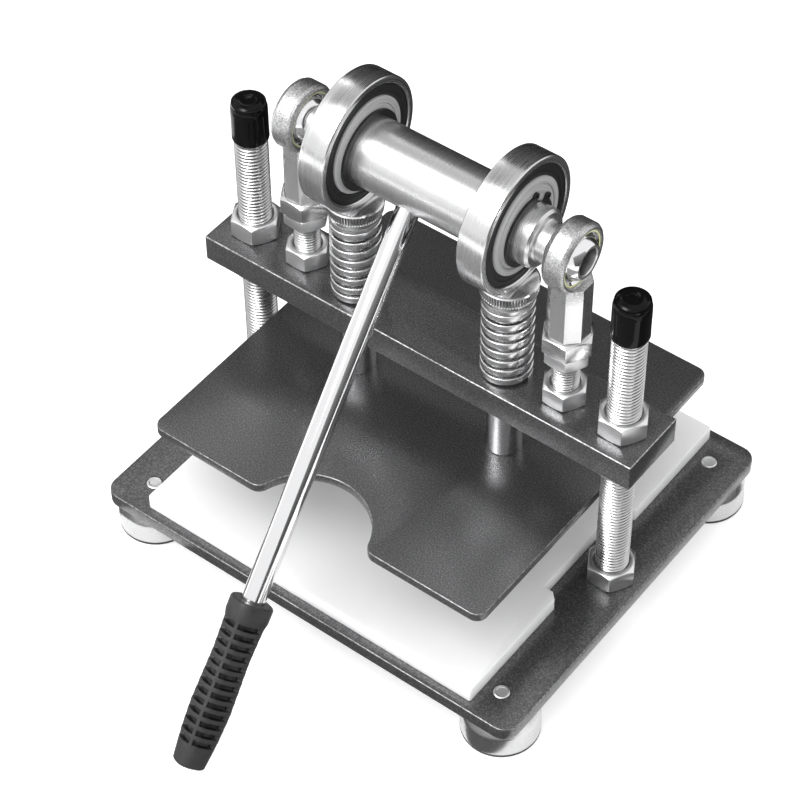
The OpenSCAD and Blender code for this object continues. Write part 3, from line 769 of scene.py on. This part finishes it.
def make_nuts():
    post_nut = make_nut("post_nut", POST_NUT_W, POST_NUT_H, POST_R)
    stud_nut = make_nut("stud_nut", STUD_NUT_W, STUD_NUT_H, STUD_R)
    lock_nut = make_nut("lock_nut", STUD_NUT_W, LOCK_NUT_H, STUD_R)
    rows = [(post_nut, "base_upper_nuts", POST_X, BASE_TOP),
            (post_nut, "base_lower_nuts", POST_X, BASE_BOTTOM - POST_NUT_H),
            (post_nut, "beam_upper_nuts", POST_X, BEAM_TOP),
            (post_nut, "beam_lower_nuts", POST_X, BEAM_BOTTOM - POST_NUT_H),
            (stud_nut, "stud_seat_nuts", STUD_X, BEAM_TOP),
            (stud_nut, "stud_lower_nuts", STUD_X, BEAM_BOTTOM - STUD_NUT_H),
            (lock_nut, "stud_lock_nuts", STUD_X, LOCK_NUT_BOTTOM)]
    for nut, node, x, z in rows:
        for side, word in ((-1, "left"), (1, "right")):
            twin = copy_of(nut, node[:-1] + "_" + word, (side * x, 0, z))
            dress(twin, nut_zinc, "zinc", node, smooth=30)
    for nut in (post_nut, stud_nut, lock_nut):
        bpy.data.objects.remove(nut, do_unlink=True)


make_nuts()


# Post caps, each with a dent beside the middle of its dome
def make_caps():
    bottom, top, outer, inner = 192.3, 219.8, 10.95, 10.1
    roof = POST_TOP + 0.1
    dome = [(0, top - 0.55), (2.2, top - 0.4), (4.2, top - 0.1), (5.6, top), (7.4, top - 0.45),
            (9.0, top - 1.5), (10.2, top - 3.2), (10.75, top - 5.2), (outer - 0.1, top - 8)]
    skirt = [(outer - 0.12, bottom + 6), (outer, bottom + 1), (outer - 0.1, bottom + 0.25),
             (outer - 0.4, bottom), (inner, bottom), (inner, roof), (0, roof)]
    cap = turned("post_cap_left", dome + skirt, (-POST_X, 0, 0), steps=64)
    dent_x, dent_y, dent_r = -POST_X - 4, 3, 3.4
    edit(cap)
    pick_points(cap, lambda p: p.z > top - 5 and math.hypot(p.x - dent_x, p.y - dent_y) < dent_r)
    bpy.ops.transform.translate(value=mm(0.25, -0.2, -0.55), use_proportional_edit=True,
                                proportional_edit_falloff="SMOOTH", proportional_size=3 * MM)
    leave_edit()
    dress_both(cap, "post_cap_right", POST_X, vinyl, "vinyl", "post_caps", "post_caps", smooth=60)


make_caps()


# Feet
def make_feet():
    r = FOOT_R
    pad_r = r - 0.05
    shell = [(0, FOOT_BOTTOM), (r, FOOT_BOTTOM), (r, FOOT_BOTTOM + 2.5), (r - 0.5, BASE_BOTTOM - 6),
             (r - 3, BASE_BOTTOM - 0.8), (r - 4, BASE_BOTTOM), (0, BASE_BOTTOM)]
    sole = [(0, PAD_BOTTOM), (r - 0.5, PAD_BOTTOM), (pad_r, PAD_BOTTOM + 0.4), (pad_r, FOOT_BOTTOM),
            (0, FOOT_BOTTOM)]
    top, tip = BASE_TOP + 0.3, BASE_TOP - FOOT_SCREW_L
    bolt = [(0, top - 0.12), (2.9, top - 0.12), (3.3, top), (4.3, top), (FOOT_SCREW_R, top - 0.5),
            (FOOT_SCREW_R, tip), (0, tip)]
    cup = turned("foot_cup", eased(shell, 1.2))
    pad = turned("foot_pad", eased(sole, 0.3))
    screw = turned("foot_screw", eased(bolt, 0.2), steps=48)
    rows = [(cup, "foot_cups", foot_zinc, "chrome"), (pad, "foot_pads", rubber, "rubber"),
            (screw, "foot_screws", nut_zinc, "zinc")]
    for model, node, finish, slot in rows:
        for i, (sx, sy) in enumerate(((-1, -1), (1, -1), (-1, 1), (1, 1)), 1):
            twin = copy_of(model, "%s_%d" % (node[:-1], i), (sx * FOOT_X, sy * FOOT_Y, 0))
            dress(twin, finish, slot, node)
        bpy.data.objects.remove(model, do_unlink=True)


make_feet()


# Push rods with knurled heads
def make_push_rods():
    blank = [(0, PLATEN_TOP), (ROD_R, PLATEN_TOP), (ROD_R, ROD_TOP), (0, ROD_TOP)]
    rod = turned("push_rod_left", eased(blank, 0.8), (-ROD_X, ROD_Y, 0))
    dress_both(rod, "push_rod_right", ROD_X, chrome, "chrome", "left_push_rod", "right_push_rod")


def make_push_heads():
    ribs, valley = 64, 0.945
    inner, foot = ROD_R + 0.3, HEAD_FOOT_R
    low, high, margin = HEAD_TOP - 8.2, HEAD_TOP - 1, 0.2
    profile = [(0, HEAD_TOP), (HEAD_R - 1.4, HEAD_TOP), (HEAD_R - 0.6, HEAD_TOP - 0.3), (HEAD_R, high),
               (HEAD_R - 0.05, high - 0.4), (foot + 0.9, low + 0.4), (foot + 0.7, low),
               (foot - 0.1, HEAD_BOTTOM + 0.7), (foot - 0.6, HEAD_BOTTOM), (inner, HEAD_BOTTOM),
               (inner, ROD_TOP), (0, ROD_TOP)]
    head = turned("push_head_left", profile, (-ROD_X, ROD_Y, 0), steps=4 * ribs)
    step = math.pi / (2 * ribs)

    def polar(p):
        """Turn about the head, four steps to a rib, and distance from its axis."""
        return math.atan2(p.y - ROD_Y, p.x + ROD_X) / step, math.hypot(p.x + ROD_X, p.y - ROD_Y)

    def in_valley(p):
        turn, reach = polar(p)
        return round(turn) % 4 in (2, 3) and reach > foot and low + margin < p.z < high - margin

    def in_shade(c, normal):
        turn, reach = polar(c)
        return 1 < turn % 4 < 3 and reach > ROD_R + 1 and low + margin < c.z < high - margin

    edit(head)
    pick_points(head, in_valley)
    bpy.ops.transform.resize(value=(valley, valley, 1), center_override=mm(-ROD_X, ROD_Y, HEAD_TOP))
    leave_edit()
    head.data.materials.append(zinc)
    # The faces down in the knurl's valleys get the dark steel: painted shade between the ribs
    part_finish(head, bore_steel_and_knurl_shade, in_shade)
    dress_both(head, "push_head_right", ROD_X, zinc, "chrome", "left_push_head", "right_push_head",
               smooth=24)


make_push_rods()
make_push_heads()


# Springs of flat wire
def wire_section(width, height, ease):
    """The rounded section of the wire, as a curve to draw the spring with."""
    w, h = width / 2, height / 2
    section = bpy.data.curves.new("wire_section", "CURVE")
    section.dimensions = "2D"
    loop = section.splines.new("POLY")
    corners = eased([(-w, -h), (w, -h), (w, h), (-w, h)], ease, closed=True)[:-1]
    loop.points.add(len(corners) - 1)
    for point, (x, y) in zip(loop.points, corners):
        point.co = (*mm(x, y, 0), 1)
    loop.use_cyclic_u = True
    former = bpy.data.objects.new("wire_section", section)
    bpy.context.scene.collection.objects.link(former)
    return former


def make_springs():
    wire_w, wire_h, turns, steps = 2.6, 4.7, 7, 40
    spring_r = 15.2
    radius = spring_r - wire_w / 2
    low, high = BEAM_TOP, HEAD_BOTTOM
    pitch = (high - low - 2 * wire_h) / turns

    def height(turn):
        if turn < 1:
            return low + wire_h * turn
        if turn > turns + 1:
            return high - wire_h * (turns + 2 - turn)
        return low + wire_h + pitch * (turn - 1)

    former = wire_section(wire_w, wire_h, 0.9)
    path = bpy.data.curves.new("spring_left", "CURVE")
    path.dimensions = "3D"
    path.twist_mode = "Z_UP"
    path.bevel_mode = "OBJECT"
    path.bevel_object = former
    path.use_fill_caps = True
    line = path.splines.new("POLY")
    line.points.add((turns + 2) * steps)
    for i, point in enumerate(line.points):
        turn = i / steps
        a = 2 * math.pi * turn
        x, y = -ROD_X + radius * math.cos(a), ROD_Y + radius * math.sin(a)
        point.co = (*mm(x, y, height(turn)), 1)
    spring = bpy.data.objects.new("spring_left", path)
    bpy.context.scene.collection.objects.link(spring)
    take(spring)
    bpy.ops.object.convert(target="MESH")
    spring = name_piece(bpy.context.object, "spring_left")
    bpy.data.objects.remove(former, do_unlink=True)
    seal_mesh(spring)
    trim_ends(spring, low, high)
    twin = dress_both(spring, "spring_right", ROD_X, spring_zinc, "zinc", "left_spring", "right_spring",
                      smooth=30)
    for piece, side in ((spring, -1), (twin, 1)):
        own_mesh(piece)


make_springs()


# Rod ends with their liners, races and balls
def make_rod_ends():
    eye_r, eye_half, seat_r = 20.7, 7, 17
    collar_bottom, collar_w, collar_h = 159.3, 27, 12.3
    shank_bottom, shank_half = 171.3, 11.5
    side = [(seat_r, -eye_half + 0.6), (seat_r + 0.6, -eye_half), (seat_r + 1.6, -eye_half),
            (seat_r + 2, -eye_half + 0.5), (eye_r - 0.9, -eye_half + 1.0), (eye_r, -eye_half + 2.6)]
    loop = side + [(radius, -far) for radius, far in reversed(side)]
    eye = turned("rod_end_left", loop + [loop[0]], (-STUD_X, 0, AXIS_Z), "X", 96)
    shank_r = shank_half / math.cos(math.pi / 8)
    shank_h = AXIS_Z - shank_bottom - seat_r - 0.3
    shank = drum("shank", 8, shank_r, (-STUD_X, 0, shank_bottom), shank_h, 22.5)
    join_shapes(eye, shank, "UNION")
    collar = hexagon("collar", collar_w, collar_h)
    settle(collar, Matrix.Translation(mm(-STUD_X, 0, collar_bottom)))
    join_shapes(eye, collar, "UNION")
    hole_r, hole_bottom, hole_top = STUD_R + CLOSE_FIT, 157, STUD_TOP + 0.1
    hole = turned("stud_hole", [(0, hole_bottom), (hole_r, hole_bottom), (hole_r, hole_top), (0, hole_top)],
                  (-STUD_X, 0, 0), steps=64)
    join_shapes(eye, hole, "DIFFERENCE")
    soften(eye, 0.45, 2, 22)
    dress_both(eye, "rod_end_right", STUD_X, blasted_steel, "cast_eye", "left_rod_end", "right_rod_end",
               smooth=30)


def make_rod_balls():
    centre = (-STUD_X, 0, AXIS_Z)
    ball_r, ball_half, bore_r, face_r = 14.5, 10.5, 8.06, 9.4
    race_r, race_half = 15.6, 6
    liner_in, liner_out, liner_half = 15.65, 16.9, 6.2
    rows = [4.4 - 1.1 * i for i in range(9)]
    hollow = [(math.sqrt((ball_r + LOOSE_FIT) ** 2 - x * x), x) for x in rows]
    race = turned("race_left", hollow + [(race_r, -race_half), (race_r, race_half), hollow[0]], centre, "X")
    sleeve = ring_profile(liner_in, liner_out, -liner_half, liner_half, 0.2)
    liner = turned("liner_left", sleeve, centre, "X")
    cap = [math.radians(a) for a in range(-46, 47, 4)]
    sphere = [(ball_r * math.cos(a), ball_r * math.sin(a)) for a in cap]
    mouth = [(face_r, ball_half), (8.5, ball_half - 0.2), (bore_r, ball_half - 0.9)]
    bored = mouth + [(radius, -far) for radius, far in reversed(mouth)]
    ball = turned("rod_ball_left", sphere + bored + [sphere[0]], centre, "X")
    ball.data.materials.append(chrome)
    part_finish(ball, nut_zinc, lambda c, normal: math.hypot(c.y, c.z - AXIS_Z) < face_r + 0.6)
    part_finish(ball, bore_steel_and_knurl_shade, lambda c, normal: math.hypot(c.y, c.z - AXIS_Z) < bore_r + 0.1)
    dress_both(liner, "liner_right", STUD_X, liner_polymer, "liner", "left_liner", "right_liner")
    dress_both(race, "race_right", STUD_X, chrome, "chrome", "left_liner", "right_liner")
    dress_both(ball, "rod_ball_right", STUD_X, chrome, "chrome", "left_rod_ball", "right_rod_ball")


make_rod_ends()
make_rod_balls()


# Shaft and bearings with their bushes
def lever_place():
    drop = Matrix.Rotation(math.radians(90 + LEVER_DROP), 4, "X")
    lean = Matrix.Rotation(math.radians(LEVER_LEAN), 4, "Y")
    return Matrix.Translation(mm(LEVER_X, 0, AXIS_Z)) @ drop @ lean


def make_shaft():
    bar, stub, neck, journal, groove = 20.4, 17.5, 12, 8, 16.2
    groove_end, shoulder, neck_end, tip = BEARING_OUT + 1.7, 73.5, 80.4, 93
    half = [(bar, 0), (bar, BEARING_IN - 0.8), (bar - 0.8, BEARING_IN), (stub, BEARING_IN),
            (stub, BEARING_OUT), (groove, BEARING_OUT), (groove, groove_end), (stub, groove_end),
            (stub, shoulder - 1.5), (stub - 1.5, shoulder), (neck + 0.7, shoulder), (neck, shoulder + 0.7),
            (neck, neck_end), (journal, neck_end), (journal, tip - 0.8), (journal - 0.8, tip), (2.6, tip),
            (0, tip - 1.5)]
    profile = [(r, -x) for r, x in reversed(half)] + half[1:]
    shaft = turned("eccentric_shaft_ground", profile, (0, 0, AXIS_Z), "X", 128)
    hole_bottom, hole_h = -LEVER_DEEP - CLOSE_FIT, 60
    hole = drum("lever_hole", 64, LEVER_R + CLOSE_FIT, (0, 0, hole_bottom), hole_h)
    join_shapes(shaft, settle(hole, lever_place()), "DIFFERENCE")
    dress(shaft, shaft_steel, "ground_steel", "eccentric_shaft", smooth=30)
    # The shaft's end faces, deep in the balls' bores, get black steel: painted shade down the bores
    part_finish(shaft, black_steel, lambda c, normal: abs(c.x) > tip - 2 and abs(normal.x) > 0.3)


def make_bearings():
    mid = (BEARING_IN + BEARING_OUT) / 2
    half = (BEARING_OUT - BEARING_IN) / 2
    centre = (mid, 0, ROLLER_Z)
    inner_in, inner_out, outer_in = 25, 29.2, 36.4
    track, groove, flank = 32.8, 4.8, 41.4
    outside = ring_profile(outer_in, BEARING_R, -half, half, 1.3)
    outside[-1:-1] = arc(track, 0, groove, flank, -flank, 10)
    outer = turned("outer_ring_right", outside, centre, "X", 160)
    inside = ring_profile(inner_in, inner_out, -half, half, 0.5)
    inside[8:8] = arc(track, 0, groove, 180 + flank, 180 - flank, 10)
    inner = turned("inner_ring_right", inside, centre, "X", 128)
    face, seal_in, seal_out = half - 1, 29.35, 36.35
    lip = [(seal_in, face - 1.2), (seal_in, face - 0.25), (29.8, face), (31, face), (31.3, face - 0.35),
           (32.6, face - 0.35), (32.9, face), (35.3, face), (35.6, face - 0.4), (seal_out, face - 0.4),
           (seal_out, face - 1.2), (seal_in, face - 1.2)]
    seal = turned("seal_right_outer", lip, centre, "X", 128)
    back = turned("seal_right_inner", [(r, -x) for r, x in lip], centre, "X", 128)
    bush_r, rim_r, drill_r, drill_half = 24.95, 24.5, 17.55, 20
    blank = [(0, -half + 0.4), (rim_r, -half), (bush_r, -half + 0.5), (bush_r, half - 0.5), (rim_r, half),
             (0, half - 0.02)]
    bush = turned("eccentric_bush_right", blank, centre, "X", 128)
    core = [(0, -drill_half), (drill_r, -drill_half), (drill_r, drill_half), (0, drill_half)]
    join_shapes(bush, turned("bush_bore", core, (mid, 0, AXIS_Z), "X", 96), "DIFFERENCE")
    rows = [(outer, "outer_ring_left", "outer_ring", race_steel, "ground_steel"),
            (inner, "inner_ring_left", "inner_ring", bush_grey, "ground_steel"),
            (seal, "seal_left_inner", "seals", seal_rubber, "rubber"),
            (back, "seal_left_outer", "seals", seal_rubber, "rubber"),
            (bush, "eccentric_bush_left", "eccentric_bush", bush_grey, "ground_steel")]
    for piece, twin_name, node, finish, slot in rows:
        dress_both(piece, twin_name, -mid, finish, slot, "right_" + node, "left_" + node, smooth=30)


make_shaft()
make_bearings()


# Lever rod and grip, modelled upright and then laid along the lever
def make_lever_rod():
    end = LEVER_L - 6
    blank = [(0, -LEVER_DEEP), (LEVER_R, -LEVER_DEEP), (LEVER_R, end), (0, end)]
    rod = turned("lever_rod_chrome", eased(blank, 1), steps=64)
    settle(rod, lever_place())
    dress(rod, chrome, "chrome", "lever_rod")


def make_grip():
    """A swelling sleeve with four flattened sides and rows of slots between four ridges."""
    start = LEVER_L - GRIP_L
    socket_r, socket_end, skin = LEVER_R + CLOSE_FIT, start + 95.1, 8
    knots = [(0, 12.2), (1, 13), (9, 13), (13, 12), (33, 11.3), (66, 12.3), (83, 11.5), (100, 9.7),
             (GRIP_L, 8.7)]
    first, pitch, width, count, deep = 12.2, 5.95, 3.3, 13, 2.9
    ridge, quarter = math.radians(GRIP_RIDGE), math.pi / 2

    def swell(t):
        for (t0, r0), (t1, r1) in zip(knots, knots[1:]):
            if t <= t1:
                return r0 + (r1 - r0) * (t - t0) / (t1 - t0)
        return knots[-1][1]

    def from_ridge(p):
        """Turn from the nearest of the four ridges."""
        turn = (math.atan2(p.y, p.x) - ridge) % quarter
        return min(turn, quarter - turn)

    def in_groove(c, normal):
        t = c.z - start - first
        row = int(t // pitch) if t > 0 else -1
        return (math.hypot(c.x, c.y) > skin and 0 <= row < count and t - row * pitch < width
                and from_ridge(c) > math.radians(4.9))

    def in_floor(c, normal):
        return in_groove(c, normal) and math.hypot(c.x, c.y) < swell(c.z - start) - 2

    slots = [first + pitch * i for i in range(count)]
    marks = sorted({0, 0.4, 1, 5, 9, 91, 96, 100, 100.6, GRIP_L} | set(slots) | {t + width for t in slots})
    outer = [(swell(t), start + t) for t in marks]
    profile = [(socket_r, start), (9.5, start + 0.1)] + outer + [(0, start + GRIP_L)]
    profile += [(0, socket_end), (socket_r, socket_end), (socket_r, start)]
    grip = turned("lever_grip_rubber", profile, steps=72)
    edit(grip)
    for column in range(1, 10):
        angle = math.radians(5 * column)

        def in_column(p, angle=angle):
            return math.hypot(p.x, p.y) > skin and abs(from_ridge(p) - angle) < 0.02

        share = 1 - 0.075 * math.sin(2 * angle) ** 2
        pick_points(grip, in_column)
        bpy.ops.transform.resize(value=(share, share, 1), center_override=mm(0, 0, start))
    pick_faces(grip, in_groove)
    bpy.ops.mesh.inset(thickness=0.25 * MM, depth=-deep * MM, use_individual=False)
    leave_edit()
    grip.data.materials.append(rubber)
    # The slot floors get the darker rubber: painted shade down in the slots
    part_finish(grip, slot_shade_rubber, in_floor)
    soften(grip, 0.25, 2, 32)
    settle(grip, lever_place())
    dress(grip, rubber, "rubber", "lever_grip", smooth=30)


make_lever_rod()
make_grip()


# CAD nodes that stay, with their finish
paint_nodes(chrome, "left_bearing_balls", "right_bearing_balls")
paint_nodes(brass, "left_cage", "right_cage")
paint_nodes(black_steel, "retaining_rings", "spacer_rings", "platen_screws")


# Floor, world, lamps and cards
def seen_ray(tree):
    """One where a camera, glossy or transmitted ray asks, else nought."""
    path = tree.nodes.new("ShaderNodeLightPath").outputs
    first = reckon(tree, "MAXIMUM", path["Is Camera Ray"], path["Is Glossy Ray"])
    return reckon(tree, "MAXIMUM", first, path["Is Transmission Ray"])


def bare_material(name):
    """A material with an output and a white glow, for pieces of the stage."""
    material = bpy.data.materials.new(name)
    material.use_nodes = True
    tree = material.node_tree
    tree.nodes.clear()
    out = tree.nodes.new("ShaderNodeOutputMaterial")
    glow = tree.nodes.new("ShaderNodeEmission")
    glow.inputs["Color"].default_value = (1, 1, 1, 1)
    return material, tree, out.inputs["Surface"], glow


def make_floor():
    clear()
    bpy.ops.mesh.primitive_plane_add(size=6, location=mm(0, 0, PAD_BOTTOM))
    floor = name_piece(bpy.context.object, "floor")
    paper, tree, surface, glow = bare_material("floor_paper")
    matt = tree.nodes.new("ShaderNodeBsdfDiffuse")
    matt.inputs["Color"].default_value = (0.82, 0.82, 0.82, 1)
    both = tree.nodes.new("ShaderNodeAddShader")
    tree.links.new(reckon(tree, "MULTIPLY", seen_ray(tree), FLOOR_GLOW), glow.inputs["Strength"])
    tree.links.new(matt.outputs["BSDF"], both.inputs[0])
    tree.links.new(glow.outputs["Emission"], both.inputs[1])
    tree.links.new(both.outputs["Shader"], surface)
    floor.data.materials.append(paper)


def make_world():
    world = bpy.data.worlds.new("white_studio")
    bpy.context.scene.world = world
    world.use_nodes = True
    tree = world.node_tree
    sky = tree.nodes["Background"]
    sky.inputs["Color"].default_value = (1, 1, 1, 1)
    strength = spread(tree, seen_ray(tree), 0, 1, SKY_LIGHT, SKY_SEEN)
    tree.links.new(strength, sky.inputs["Strength"])


def facing(place_mm, target_mm, front):
    """A place in the studio, turned so that the front axis points at a target."""
    spot = Vector(mm(*place_mm))
    aim = Vector(mm(*target_mm)) - spot
    return Matrix.Translation(spot) @ aim.to_track_quat(front, "Y").to_matrix().to_4x4()


def add_lamp(name, place_mm, target_mm, size, watts):
    lamp = bpy.data.lights.new(name, "AREA")
    lamp.shape = "RECTANGLE"
    lamp.size, lamp.size_y = size
    lamp.energy = watts
    holder = bpy.data.objects.new(name, lamp)
    bpy.context.scene.collection.objects.link(holder)
    holder.matrix_world = facing(place_mm, target_mm, "-Z")
    return holder


def add_flag(name, place_mm, target_mm, size, low, high):
    """A card off the picture, from a low to a high shade, that metal shows as a band."""
    clear()
    bpy.ops.mesh.primitive_plane_add(size=1)
    card = name_piece(bpy.context.object, name)
    card.matrix_world = facing(place_mm, target_mm, "Z") @ Matrix.Diagonal((size[0], size[1], 1, 1))
    paper, tree, surface, glow = bare_material(name)
    shade = spread(tree, object_axes(tree)["Y"], -0.5, 0.5, low, high)
    tree.links.new(shade, glow.inputs["Strength"])
    tree.links.new(glow.outputs["Emission"], surface)
    card.data.materials.append(paper)
    card.visible_camera = False
    card.visible_diffuse = False
    card.visible_shadow = False
    card.visible_transmission = False


def lay_flag(name, x, y, z, size, shade):
    """A card of one shade that lies on the floor."""
    add_flag(name, (x, y, z), (x, y, 100), size, shade, shade)


make_floor()
make_world()
add_lamp("key_softbox", (-350, -850, 1350), (0, 0, 0), (1.1, 1.0), 8)
fill = add_lamp("low_fill", (-500, -1150, 330), (0, 0, 20), (1.6, 0.5), 10)
fill.visible_glossy = False
spark = add_lamp("highlight_box", (-250, -700, 1200), (0, 0, 150), (0.48, 0.48), 9)
spark.visible_diffuse = False
add_flag("dark_back", (-450, 1000, 555), (0, 0, 555), (2.2, 1.2), 0.01, 0.1)
add_flag("dark_above", (-580, 1001, 1400), (-580, 0, 1400), (0.68, 0.8), 0.02, 0.03)
add_flag("bright_left", (-1200, 1002, 1760), (-1200, 0, 1760), (0.36, 0.5), 3, 3)
add_flag("grey_top", (-780, 350, 1850), (-780, 350, 0), (0.8, 1.3), 0.2, 0.7)
lay_flag("dark_ground", 0, 900, -40, (2.6, 1.4), 0.03)
lay_flag("dark_ground_right", 500, 300, -39.5, (0.65, 0.7), 0.08)
lay_flag("grey_ground", -60, -530, -40, (1.0, 0.74), 0.36)
lay_flag("dark_strip", 45, -161, -40.5, (0.29, 0.06), 0.14)
lay_flag("grey_ground_left", -270, -80, -39.5, (0.24, 0.36), 0.2)
add_flag("dark_front", (-350, -1250, 150), (0, 0, 150), (1.5, 0.12), 0.2, 0.3)
add_flag("dark_side", (950, -350, 430), (0, -123, 97), (1.1, 0.85), 0.03, 0.3)
add_flag("dark_left", (-1050, 150, 250), (0, 0, 150), (0.4, 0.5), 0.05, 0.3)

bpy.context.scene.view_settings.view_transform = "Standard"
